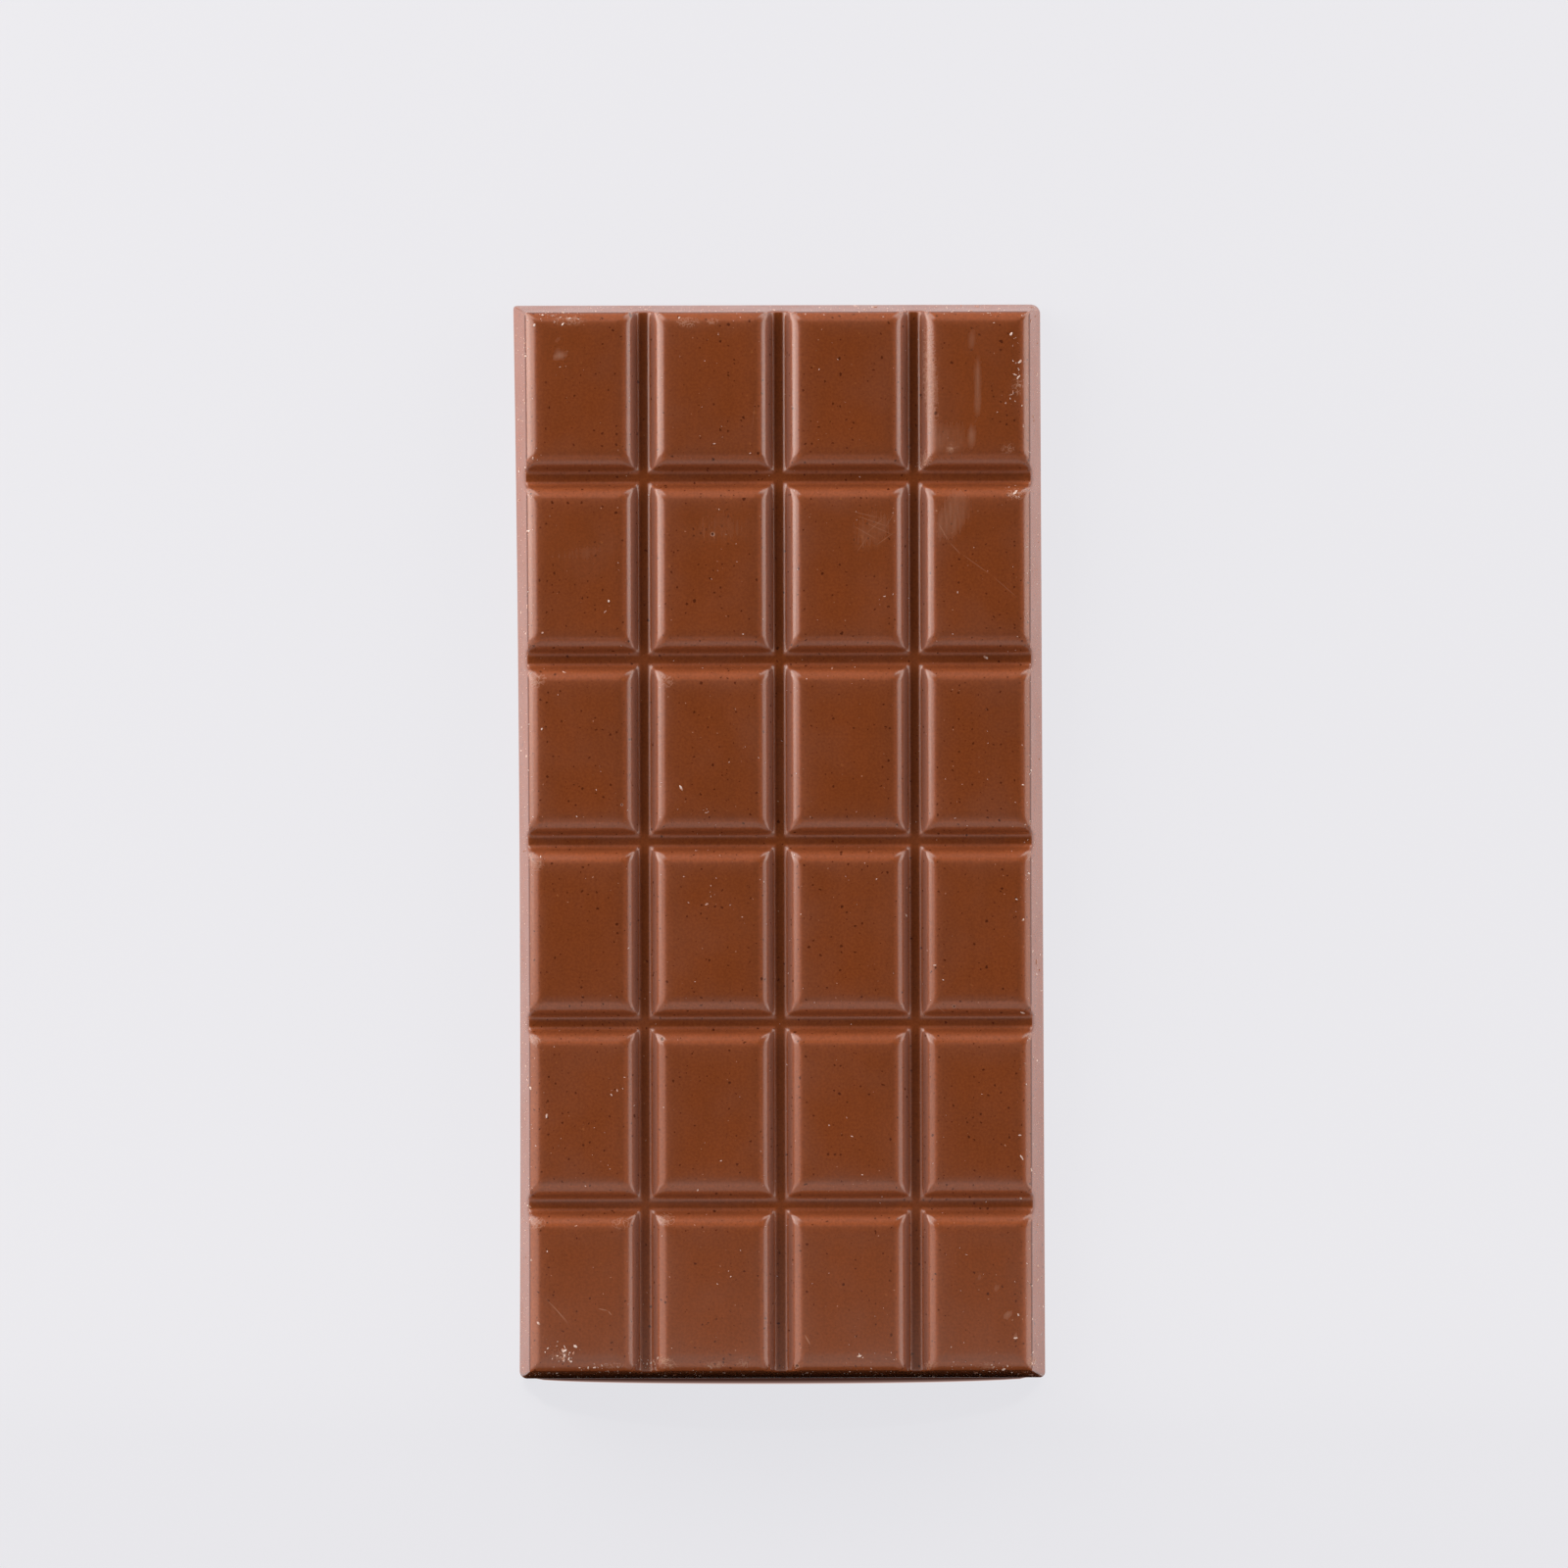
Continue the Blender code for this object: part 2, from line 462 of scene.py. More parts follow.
# How soft a grain's edge is, how far its outline strays, and how deep a mark reaches into the face.
GRAIN_EDGE = 0.00006
RAGGEDNESS = 0.0004
PATCH_DEPTH = 9 * MM


def grains(tree, place, cell, largest):
    """Round grains of any size up to the largest radius, one in each cell of the chocolate: 1 inside them."""
    cells = add_node(tree, "ShaderNodeTexVoronoi", Vector=place, Scale=1.0 / cell)
    split = add_node(tree, "ShaderNodeSeparateColor", Color=out(tree, cells, "Color"))
    radius = out(tree, split, "Red") * (largest / cell)
    return ((radius - out(tree, cells, "Distance")) * (cell / GRAIN_EDGE)).at_least(0.0).at_most(1.0)


def ragged(tree, place):
    """The place pushed about a little, so that grains found from it aren't round."""
    push = add_node(tree, "ShaderNodeTexNoise", Vector=place, Scale=1 / RAGGEDNESS, Detail=1.0)
    moved = add_node(tree, "ShaderNodeVectorMath", {"operation": "MULTIPLY_ADD"})
    feed(out(tree, push, "Color"), moved.inputs[0])
    moved.inputs[1].default_value = (RAGGEDNESS, RAGGEDNESS, RAGGEDNESS)
    feed(place, moved.inputs[2])
    return out(tree, moved)


def patch_frame(tree, place, x, y, long, wide, turn):
    """Coordinates of an oval patch of the face, in its half length and half width."""
    frame_of_patch = add_node(tree, "ShaderNodeMapping", {"vector_type": "TEXTURE"}, Vector=place)
    frame_of_patch.inputs["Location"].default_value = (x * MM, y * MM, BAR["Thickness"])
    frame_of_patch.inputs["Rotation"].default_value = (0.0, 0.0, math.radians(turn))
    frame_of_patch.inputs["Scale"].default_value = (long * MM, wide * MM, PATCH_DEPTH)
    return out(tree, frame_of_patch)


def oval(tree, own_place):
    """1 at the middle of a patch, falling to 0 at its rim."""
    fall_off = add_node(tree, "ShaderNodeTexGradient", {"gradient_type": "SPHERICAL"}, Vector=own_place)
    return out(tree, fall_off)


MILK_BROWN = (0.200, 0.0468, 0.0108, 1.0)
# Cocoa specks, and also the colour of the painted shade in the crease and in the pits.
COCOA_SPECK_AND_SHADE = (0.062, 0.011, 0.002, 1.0)
CARAMEL_SPECK = (0.36, 0.110, 0.030, 1.0)
# The colour of the painted sheen, and of the cloudy fat bloom.
SHEEN_AND_BLOOM_HAZE = (0.26, 0.21, 0.21, 1.0)
# Pale grains of fat and the marks of handling, and also the painted highlight on the pits' rims.
FAT_BLOOM_AND_HIGHLIGHT = (0.46, 0.235, 0.150, 1.0)
# The face is above this level. The thin dark line of painted shade along the crease has its own height, and
# lies this near the outline.
FACE_LEVEL = 0.0078
CREASE_HEIGHT = 0.007065
CREASE_SHADE_HALF_HEIGHT = 0.00003
CREASE_SHADE_WITHIN = 0.0026
# Painted sheen on the pips' rims starts this far from the middle of a groove and has faded out this much
# further in.
SHEEN_START = 0.0030
SHEEN_FADE = 0.0045
# Dark grains of cocoa, fine, middling and coarse: the cell that holds one, the largest radius, and how dark.
# The specks of caramel and the pale grains of fat are given alike.
COCOA_GRAINS = ((0.00062, 0.00014, 0.45), (0.00100, 0.00022, 0.75), (0.0023, 0.00027, 0.95))
CARAMEL_GRAINS = (0.0031, 0.00026, 0.35)
FAT_GRAINS = (0.0012, 0.00012, 0.9)

# Marks from handling, each as x and y of its middle, half length and half width in millimetres, turn in
# degrees and strength. Smears are wiped fat, scuffs are rubbed and crazed spots, scratches are hairlines.
SMEARS = (
    (-31.4, 69.6, 1.00, 0.95, 0, 1.8),
    (-31.5, 71.9, 0.55, 0.45, 0, 0.6),
    (24.6, 57.4, 4.4, 3.4, 30, 0.60),
    (21.9, 64.0, 9.5, 1.9, 92, 0.45),
    (24.8, 46.4, 5.0, 2.9, 66, 0.95),
    (-8.5, 44.6, 7.4, 3.0, 3, 0.42),
    (-28.7, 41.2, 6.6, 1.4, 6, 0.35),
    (13.4, 44.4, 4.6, 3.4, 38, 0.60),
    (-31.8, -67.6, 3.8, 1.8, -47, 0.32),
    (-0.8, -49.3, 1.7, 1.5, 20, 0.28),
    (28.6, -62.3, 0.60, 0.50, 0, 1.3),
    (31.1, -63.8, 0.70, 0.45, 70, 1.5),
    (32.4, -68.1, 0.75, 0.55, 80, 1.8),
    (33.6, -71.0, 0.55, 0.35, 60, 1.3),
)
SCUFFS = (
    (-34.6, 23.0, 1.4, 1.0, 30, 0.9),
    (-16.2, 22.9, 1.3, 1.0, -20, 0.9),
    (-34.9, -3.2, 1.3, 1.1, 0, 0.8),
    (-35.2, -28.6, 1.1, 1.1, 0, 0.6),
    (-35.0, -54.8, 1.6, 1.0, 10, 0.7),
    (-22.8, -54.8, 1.4, 0.9, 0, 0.8),
    (-16.5, -54.3, 1.5, 1.0, 0, 0.8),
    (20.9, 54.6, 1.5, 1.1, 60, 1.1),
    (21.7, 66.0, 9.5, 1.2, 92, 0.7),
    (-12.9, 74.3, 1.9, 0.9, 0, 0.9),
    (-9.4, 74.4, 1.1, 0.6, 0, 0.7),
    (-30.0, 74.6, 2.6, 1.0, 0, 0.7),
    (-16.4, -74.8, 1.7, 1.0, -20, 1.4),
    (-9.4, -75.1, 1.5, 0.7, 0, 1.1),
    (-5.3, -74.9, 1.0, 0.8, 0, 1.1),
    (-31.6, -73.6, 1.4, 0.9, 0, 0.9),
    (-24.0, -75.2, 1.8, 0.6, 0, 0.8),
    (21.4, -75.2, 1.2, 0.7, 30, 0.8),
    (29.4, -75.4, 1.2, 0.7, 0, 0.9),
    (36.0, -74.7, 1.0, 0.9, 0, 1.0),
    (34.2, 65.0, 1.5, 1.0, 90, 0.9),
    (32.9, 56.0, 1.0, 0.8, 0, 0.8),
    (33.9, 49.6, 1.5, 1.0, 0, 1.1),
    (24.7, 56.0, 0.9, 0.7, 0, 1.0),
)
SCRATCHES = (
    (23.5, 44.2, 1.7, 0.10, -60, 0.5),
    (25.2, 41.8, 1.3, 0.09, -47, 0.45),
    (28.2, 39.5, 2.7, 0.08, -36, 0.4),
    (32.4, 36.2, 2.7, 0.08, -41, 0.3),
    (-32.1, -67.2, 2.7, 0.09, -47, 0.5),
    (-31.5, -67.9, 2.2, 0.07, -52, 0.35),
    (-25.5, -67.1, 0.75, 0.10, -12, 0.8),
    (-24.5, -67.6, 0.45, 0.10, -50, 0.8),
    (3.8, -71.5, 0.9, 0.13, -62, 0.8),
    (-1.0, -66.6, 1.9, 0.09, 73, 0.5),
    (23.1, -24.3, 1.0, 0.08, -40, 0.4),
    (-3.6, 61.0, 2.4, 0.06, 84, 0.2),
    (13.9, 45.2, 2.2, 0.07, 42, 0.45),
    (15.2, 43.2, 1.8, 0.07, 35, 0.45),
    (11.9, 42.4, 1.6, 0.07, 55, 0.40),
    (12.6, 46.6, 2.4, 0.07, -14, 0.45),
    (13.4, 45.7, 2.8, 0.07, -19, 0.50),
    (14.4, 44.6, 2.6, 0.07, -24, 0.45),
    (12.3, 44.1, 2.2, 0.07, -30, 0.45),
    (15.9, 45.9, 1.7, 0.07, 58, 0.40),
)
# Burst bubbles, as x, y and radius in millimetres.
PITS = ((-9.5, 43.9, 0.26), (-16.9, -28.4, 0.28), (2.3, -75.3, 0.25), (-22.6, 5.2, 0.16), (24.9, -23.8, 0.20))
# A thumb's stroke down the first pip of the last column, as part of a ring: its middle, radius and half
# width, and the oval patch within which it shows.
STROKE_MIDDLE = (-9.8, 64.8)
STROKE_RADIUS = 38.2
STROKE_HALF_WIDTH = 0.42
STROKE_PATCH = (28.0, 64.6, 10.0, 6.0, 90)


def reach(points, x, y, long, wide, turn):
    """How far each point of the bar is from an oval's middle, as a share of the way to its rim."""
    across, along = points[:, 0] / MM - x, points[:, 1] / MM - y
    cosine, sine = math.cos(math.radians(turn)), math.sin(math.radians(turn))
    return np.hypot((across * cosine + along * sine) / long, (along * cosine - across * sine) / wide)


def fading(off, firmness):
    """1 inside, falling to 0 where off is 1. The firmer it is, the narrower is its soft edge."""
    return np.clip(firmness - firmness * off, 0.0, 1.0)


def rim_sheen(along, count, pitch, before, after):
    """Painted sheen on the rims of the pips, fading inwards, with its strength on either side of a pip."""
    place = (along / pitch + count / 2) % 1.0
    start, fade = SHEEN_START / pitch, SHEEN_FADE / pitch
    near = fading((place - start) / fade, 1.0) ** 2 * before
    return np.maximum(near, fading((1.0 - place - start) / fade, 1.0) ** 2 * after)


def points_of(mesh):
    """The mesh's points, and how far each is from the outline of the bar."""
    points = np.empty(len(mesh.vertices) * 3)
    mesh.vertices.foreach_get("co", points)
    points = points.reshape(-1, 3)
    from_side = BAR["Width"] / 2 - np.abs(points[:, 0])
    from_end = BAR["Length"] / 2 - np.abs(points[:, 1])
    return points, np.minimum(from_side, from_end)


def paint_values(mesh, name, values):
    """Stores a value for each point of the mesh, by its name."""
    mesh.attributes.new(name, "FLOAT", "POINT").data.foreach_set("value", values.astype(np.float32))


def paint_marks(mesh):
    """Paints smears, scuffs, painted sheen on the pips' rims and painted shade along the crease."""
    points, from_outline = points_of(mesh)
    # Painted sheen near the pips' rims, where the shoulders' highlights fade into the tops.
    sheen_across = rim_sheen(points[:, 0], BAR["Columns"], BAR["Pitch across"], 1.0, 0.5)
    sheen_along = rim_sheen(-points[:, 1], BAR["Rows"], BAR["Pitch along"], 1.0, 0.8)
    rim = np.maximum(sheen_across, sheen_along) * (points[:, 2] > FACE_LEVEL)
    from_ring = np.abs(reach(points, *STROKE_MIDDLE, 1.0, 1.0, 0) - STROKE_RADIUS) / STROKE_HALF_WIDTH
    in_stroke = fading(reach(points, *STROKE_PATCH), 3.0)
    smear = fading(from_ring, 1.4) * in_stroke * 1.1
    for x, y, long, wide, turn, strength in SMEARS:
        smear += fading(reach(points, x, y, long, wide, turn), 1.5) * strength
    scuff = np.zeros(len(points))
    for x, y, long, wide, turn, strength in SCUFFS:
        scuff += fading(reach(points, x, y, long, wide, turn), 1.8) * strength
    # A thin line of painted shade along the crease between wall and shoulder.
    crease = (np.abs(points[:, 2] - CREASE_HEIGHT) < CREASE_SHADE_HALF_HEIGHT) * (from_outline < CREASE_SHADE_WITHIN)
    paint_values(mesh, "smear", smear)
    paint_values(mesh, "scuff", scuff)
    paint_values(mesh, "rim", rim)
    paint_values(mesh, "crease", crease)


def crazed(tree, place):
    """Thin pale curls and flecks, as fat shows where it has been rubbed."""
    curls = step((mottle(tree, place, 0.0007, 2.0) - 0.5).size(), 0.060, 0.015)
    return curls * 0.8 + step(mottle(tree, place, 0.0005, 1.0), 0.55, 0.75) * 0.6 + 0.12


def scratched(tree, place):
    """Hairlines, by their strength."""
    total = 0.0
    for x, y, long, wide, turn, strength in SCRATCHES:
        hairline = oval(tree, patch_frame(tree, place, x, y, long, wide, turn)) * 2.5
        total = hairline.at_most(1.0) * strength + total
    return total


def pitted(tree, place):
    """Burst bubbles: 1 in the hollow, painted dark as shade, and the rim round it, painted pale as a
    highlight.
    """
    hollow, rim = 0.0, 0.0
    for x, y, radius in PITS:
        inside = oval(tree, patch_frame(tree, place, x, y, 2 * radius, 2 * radius, 0))
        hollow = step(inside, 0.5, 0.75) + hollow
        rim = step((inside - 0.45).size(), 0.16, 0.04) + rim
    return hollow, rim


def brown_with_painted_light(tree, place, fine, upward, level):
    """Milk brown as it leaves the mould, a little cloudy.

    Shoulders are painted paler and steep walls brighter, as painted light from the side lamps.
    """
    tilted = step(level, 1.0, 0.93)
    # Painted light by slope: paler shoulders, brighter steep walls.
    shade = tilted * step(level, 0.5, 0.82, 0.12, 0.40) + step(level, 0.25, 0.45, 1.25, 1.0)
    sideways = out(tree, upward, "X").size()
    # Painted sheen on side-facing walls, shoulders and pips' rims; the cloudy term after it is fat bloom on
    # the tops.
    painted_sheen_and_bloom = step(sideways, 0.66, 0.80) * step(level, 0.28, 0.38) * 0.20
    painted_sheen_and_bloom = painted_sheen_and_bloom + tilted * 0.045 + painted(tree, "rim") * 0.045
    painted_sheen_and_bloom = painted_sheen_and_bloom + step(mottle(tree, place, 0.009, 3.0), 0.42, 0.75) * (1.0 - tilted) * 0.03
    cloud = mottle(tree, place, 0.011, 2.0)
    wiped = mottle(tree, place, 0.0012, 2.0, (1.0, 0.12, 1.0))
    shade = shade * step(cloud, 0.3, 0.7, 0.965, 1.035) * step(fine, 0.25, 0.75, 0.90, 1.10)
    shade = shade * step(wiped, 0.3, 0.7, 0.98, 1.02)
    scaled = add_node(tree, "ShaderNodeVectorMath", {"operation": "SCALE"}, Scale=shade)
    scaled.inputs[0].default_value = MILK_BROWN[:3]
    return blend(tree, painted_sheen_and_bloom, out(tree, scaled), SHEEN_AND_BLOOM_HAZE)


def with_grains(tree, place, level, colour):
    """The colour with dark cocoa grains, caramel specks and pale grains of fat, and painted shade along the
    crease.
    """
    darkness = 0.0
    uneven = ragged(tree, place)
    for cell, largest, strength in COCOA_GRAINS:
        darkness = grains(tree, uneven, cell, largest) * strength + darkness
    colour = blend(tree, darkness.at_most(0.85), colour, COCOA_SPECK_AND_SHADE)
    on_top = step(level, 0.5, 0.8)
    for (cell, largest, strength), pale in ((CARAMEL_GRAINS, CARAMEL_SPECK), (FAT_GRAINS, FAT_BLOOM_AND_HIGHLIGHT)):
        colour = blend(tree, grains(tree, uneven, cell, largest) * on_top * strength, colour, pale)
    # Painted shade along the crease.
    return blend(tree, painted(tree, "crease") * 0.6, colour, COCOA_SPECK_AND_SHADE)


def smeared(tree, place):
    """Wiped fat, in streaks along the bar."""
    wiped_on = painted(tree, "smear")
    streaks = mottle(tree, place, 0.0010, 3.0, (1.8, 0.25, 1.0))
    smear = wiped_on * step(wiped_on + streaks * 1.2, 0.55, 1.35)
    return smear * step(mottle(tree, place, 0.0005, 2.0, (1.6, 0.14, 1.0)), 0.35, 0.65, 0.62, 1.12)


def milk_chocolate():
    """Milk brown with cocoa grains, painted sheen and shade, a soft gloss from the mould, and the smears and
    scuffs of handling.
    """
    material = bpy.data.materials.new("milk_chocolate")
    material.use_nodes = True
    tree = material.node_tree
    shader = tree.nodes["Principled BSDF"]
    place = out(tree, tree.nodes.new("ShaderNodeTexCoord"), "Object")
    face = painted(tree, "face")
    fine = mottle(tree, place, 0.00035, 1.0)
    outward = out(tree, tree.nodes.new("ShaderNodeNewGeometry"), "Normal")
    upward = add_node(tree, "ShaderNodeSeparateXYZ", Vector=outward)
    level = out(tree, upward, "Z")
    colour = with_grains(tree, place, level, brown_with_painted_light(tree, place, fine, upward, level))

    smear = smeared(tree, place)
    scuff = painted(tree, "scuff") * crazed(tree, place)
    scratch = scratched(tree, place) * face
    hollow, rim = pitted(tree, place)
    # The pits' rims add a painted highlight among the marks.
    marks = smear * 0.20 + scuff * 0.55 + scratch * 0.5 + rim * 0.5
    colour = blend(tree, marks.at_most(0.9), colour, FAT_BLOOM_AND_HIGHLIGHT)
    # Painted shade in the pits' hollows.
    colour = blend(tree, hollow.at_most(0.7), colour, COCOA_SPECK_AND_SHADE)
    feed(colour, shader.inputs["Base Color"])

    rough = step(mottle(tree, place, 0.006, 3.0), 0.3, 0.7, 0.21, 0.27)
    rough = rough + smear * 0.22 + scuff * 0.25 + (1.0 - face) * 0.25
    feed(rough.at_most(0.75), shader.inputs["Roughness"])
    shader.inputs["IOR"].default_value = 1.6

    # The mould's faint ripple, the grain of the set fat, and the marks' own relief.
    relief = mottle(tree, place, 0.0045, 1.0) * 0.006 + fine * 0.0016
    relief = relief + scuff * 0.004 - scratch * 0.004 - hollow * 0.05
    bump = add_node(tree, "ShaderNodeBump", Height=relief, Distance=0.001, Strength=1.0)
    feed(out(tree, bump), shader.inputs["Normal"])
    return material


chocolate = bpy.data.objects.new("moulded_chocolate", flat_sheet())
bpy.context.scene.collection.objects.link(chocolate)
run_tree(chocolate, mould_tree(milk_chocolate()), BAR)
paint_marks(chocolate.data)
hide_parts("chocolate_bar")
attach(chocolate, "root")

# ---------------------------------------------------------------- crumbs and dust
# Loose grains and flakes of the same chocolate, broken off in handling and caught on the bar's edges and
# in its grooves. They lie where they fell, more of them along the right side and at the corners.
CRUMB_CREAM = (0.78, 0.62, 0.55, 1.0)
CRUMB_BROWN = (0.36, 0.13, 0.060, 1.0)
DUST_PINK = (0.70, 0.52, 0.45, 1.0)
# Where flakes gather: x and y of the middle, half length and half width in millimetres, turn in degrees, and
# flakes on a square millimetre.
FLAKE_PATCHES = (
    (-32.0, 74.9, 3.2, 1.2, -6, 1.6),
    (-36.4, 71.0, 0.8, 1.2, 0, 0.9),
    (24.2, 75.6, 0.6, 0.5, 0, 2.5),
    (30.2, 75.2, 1.4, 0.7, 0, 2.0),
    (34.3, 68.2, 1.2, 5.2, 3, 0.9),
    (33.0, 63.0, 1.2, 0.7, 0, 2.6),
    (33.8, 49.5, 0.9, 2.0, 0, 2.2),
    (-36.4, 69.0, 0.7, 4.0, 0, 0.5),
    (-31.6, -73.4, 3.0, 1.6, -20, 1.6),
    (-25.4, -75.6, 2.0, 0.8, 0, 1.6),
    (-19.0, -75.0, 2.4, 1.3, 0, 1.5),
    (-8.6, -75.3, 2.4, 0.7, 0, 1.3),
    (12.0, -74.0, 3.0, 0.7, 0, 0.7),
    (25.6, -75.2, 2.2, 0.7, 0, 1.8),
    (31.0, -75.6, 1.6, 0.8, 0, 2.0),
    (36.0, -74.6, 1.0, 1.2, 0, 1.4),
    (-10.4, 4.4, 0.7, 0.5, 0, 2.4),
    (-9.6, -7.2, 0.6, 1.6, 10, 1.4),
    (-24.2, 33.4, 0.5, 0.5, 0, 2.0),
    (14.6, 34.2, 0.6, 0.6, 0, 2.0),
    (19.0, 33.4, 0.4, 0.4, 0, 2.5),
    (-4.9, 29.2, 0.4, 0.4, 0, 2.5),
    (-35.0, 7.1, 0.5, 0.5, 0, 2.5),
    (34.5, -45.8, 0.5, 0.5, 0, 2.5),
    (11.0, -73.9, 0.7, 0.4, 0, 2.6),
    (-23.8, -36.0, 0.4, 0.4, 0, 2.5),
    (-29.0, -54.9, 0.4, 0.4, 0, 2.5),
)
# Flakes and grains of dust on a square millimetre elsewhere: anywhere on the bar, near its outline, and for
# flakes right of this line.
FLAKES_ANYWHERE = 0.0015
FLAKES_NEAR_EDGE = 0.05
FLAKES_ON_RIGHT = 0.02
RIGHT_SIDE = 0.0325
DUST_ANYWHERE = 0.02
DUST_NEAR_EDGE = 0.35
# The sizes and shape of one kind of crumb, each an input of the geometry tree that strews it.
CRUMBS = {
    "Smallest": 0.00008,
    "Largest": 0.00026,
    "Thinness": 0.55,
    "Roughness": 0.55,
    "Detail": 2,
    "Seed": 11,
}
DUST = {
    "Smallest": 0.00004,
    "Largest": 0.00010,
    "Thinness": 0.80,
    "Roughness": 0.40,
    "Detail": 1,
    "Seed": 4,
}
# How long, wide and high a crumb may be for its size, and how much small ones outnumber large ones.
STUBBY = (0.8, 0.40, 0.35)
LANKY = (2.1, 0.9, 0.8)
MOSTLY_SMALL = 2.2
# The size of the lumps in a crumb, how far they swell it, and the lowest that a crumb may lie.
LUMP = 0.00022
LUMP_SWELL = 1.6
LOWEST_CRUMB = 0.0012


def paint_crumbs(mesh):
    """Paints how many flakes and how many grains of dust lie on each square metre of the bar."""
    points, from_outline = points_of(mesh)
    from_edge = from_outline / MM
    on_top = points[:, 2] > LOWEST_CRUMB
    flakes = FLAKES_ANYWHERE + FLAKES_NEAR_EDGE * np.clip(1.5 - from_edge / 3.0, 0.0, 1.0)
    flakes += FLAKES_ON_RIGHT * (points[:, 0] > RIGHT_SIDE)
    dust = DUST_ANYWHERE + DUST_NEAR_EDGE * np.clip(2.0 - from_edge / 1.5, 0.0, 1.0)
    for x, y, long, wide, turn, number in FLAKE_PATCHES:
        gathered = fading(reach(points, x, y, long, wide, turn), 1.6) * number
        flakes += gathered
        dust += gathered * 0.8
    paint_values(mesh, "flakes", flakes * on_top / MM**2)
    paint_values(mesh, "dust", dust * on_top / MM**2)


def scatter_tree(name, density, material):
    """Strews small uneven stones over the bar, as thickly as its painted density says."""
    tree, bar, s = new_geometry_tree(name, CRUMBS)
    dense = stored(tree, density)
    strewn = add_node(tree, "GeometryNodeDistributePointsOnFaces", Mesh=bar, Density=dense, Seed=s["Seed"])
    stone = add_node(tree, "GeometryNodeMeshIcoSphere", Radius=1.0, Subdivisions=s["Detail"])
    turn = random_vector(tree, (0.0, 0.0, 0.0), (0.0, 0.0, math.tau), s["Seed"] + 1.0)
    spun = add_node(tree, "FunctionNodeRotateRotation", {"rotation_space": "LOCAL"})
    feed(out(tree, strewn, "Rotation"), spun.inputs["Rotation"])
    feed(turn, spun.inputs["Rotate By"])
    shape = random_vector(tree, STUBBY, LANKY, s["Seed"] + 2.0)
    chance = add_node(tree, "FunctionNodeRandomValue", {"data_type": "FLOAT"}, Seed=s["Seed"] + 3.0)
    radius = s["Smallest"] + (s["Largest"] - s["Smallest"]) * out(tree, chance, 1).math("POWER", MOSTLY_SMALL)
    sized = add_node(tree, "ShaderNodeVectorMath", {"operation": "SCALE"}, Vector=shape, Scale=radius)
    thinned = add_node(tree, "ShaderNodeVectorMath", {"operation": "MULTIPLY"})
    feed(out(tree, sized), thinned.inputs[0])
    feed(out(tree, add_node(tree, "ShaderNodeCombineXYZ", X=1.0, Y=1.0, Z=s["Thinness"])), thinned.inputs[1])
    placed = add_node(
        tree,
        "GeometryNodeInstanceOnPoints",
        Points=out(tree, strewn, "Points"),
        Instance=out(tree, stone),
        Rotation=out(tree, spun),
        Scale=out(tree, thinned),
    )
    real = add_node(tree, "GeometryNodeRealizeInstances", Geometry=out(tree, placed))
    place = out(tree, tree.nodes.new("GeometryNodeInputPosition"))
    lumps = add_node(tree, "ShaderNodeTexNoise", Vector=place, Scale=1 / LUMP, Detail=1.0)
    swell = (out(tree, lumps) - 0.5) * s["Roughness"] * s["Largest"] * LUMP_SWELL
    outward = out(tree, tree.nodes.new("GeometryNodeInputNormal"))
    offset = add_node(tree, "ShaderNodeVectorMath", {"operation": "SCALE"}, Vector=outward, Scale=swell)
    lumpy = add_node(tree, "GeometryNodeSetPosition", Geometry=out(tree, real), Offset=out(tree, offset))
    close_tree(tree, out(tree, lumpy), material)
    return tree


def random_vector(tree, least, most, seed):
    """A vector for each crumb, each part of it at random between its least and its most."""
    node = add_node(tree, "FunctionNodeRandomValue", {"data_type": "FLOAT_VECTOR"}, Seed=seed)
    node.inputs[0].default_value = least
    node.inputs[1].default_value = most
    return out(tree, node, 0)


def crumb_chocolate(name, darkest):
    """Broken milk chocolate: dry and matt, paler where the fracture whitens it."""
    material = bpy.data.materials.new(name)
    material.use_nodes = True
    tree = material.node_tree
    shader = tree.nodes["Principled BSDF"]
    place = out(tree, tree.nodes.new("ShaderNodeTexCoord"), "Object")
    whitened = step(mottle(tree, place, 0.0006, 2.0), 0.38, 0.60)
    grain = step(mottle(tree, place, 0.00008, 1.0), 0.3, 0.7, 0.0, 0.25)
    colour = blend(tree, (whitened * 0.85 + grain).at_most(1.0), darkest, CRUMB_CREAM)
    feed(colour, shader.inputs["Base Color"])
    shader.inputs["Roughness"].default_value = 0.6
    shader.inputs["IOR"].default_value = 1.45
    return material


def strew(name, density, sizes, material):
    """One kind of crumb, as one plain mesh."""
    crumbs = bpy.data.objects.new(name, chocolate.data.copy())
    bpy.context.scene.collection.objects.link(crumbs)
    run_tree(crumbs, scatter_tree(name, density, material), sizes)
    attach(crumbs, "root")


paint_crumbs(chocolate.data)
strew("chocolate_flakes", "flakes", CRUMBS, crumb_chocolate("flake_chocolate", CRUMB_BROWN))
strew("chocolate_dust", "dust", DUST, crumb_chocolate("dust_chocolate", DUST_PINK))

# ---------------------------------------------------------------- table and studio light
# A pale matt table top between upright softboxes on the left, the right and behind, with a pale card
# just in front of the bar and nothing above it.
TABLE = 8.0
# The table top lies a hair under the bar's back, so that the two don't fight for the same level.
TABLE_HEIGHT = -0.00005
WARM_WHITE = (1.0, 0.955, 0.915)
PALE_GLOW = (0.80, 0.795, 0.83, 1.0)
BLACK = (0.0, 0.0, 0.0, 1.0)
CARD_BLACK = (0.01, 0.01, 0.01, 1.0)
TABLE_GREY = (0.08, 0.08, 0.08, 1.0)
SHADE_OUTSIDE = (0.75, 0.19, 0.0, 1.0)
SHADE_INSIDE = (0.032, 0.008, 0.005, 1.0)


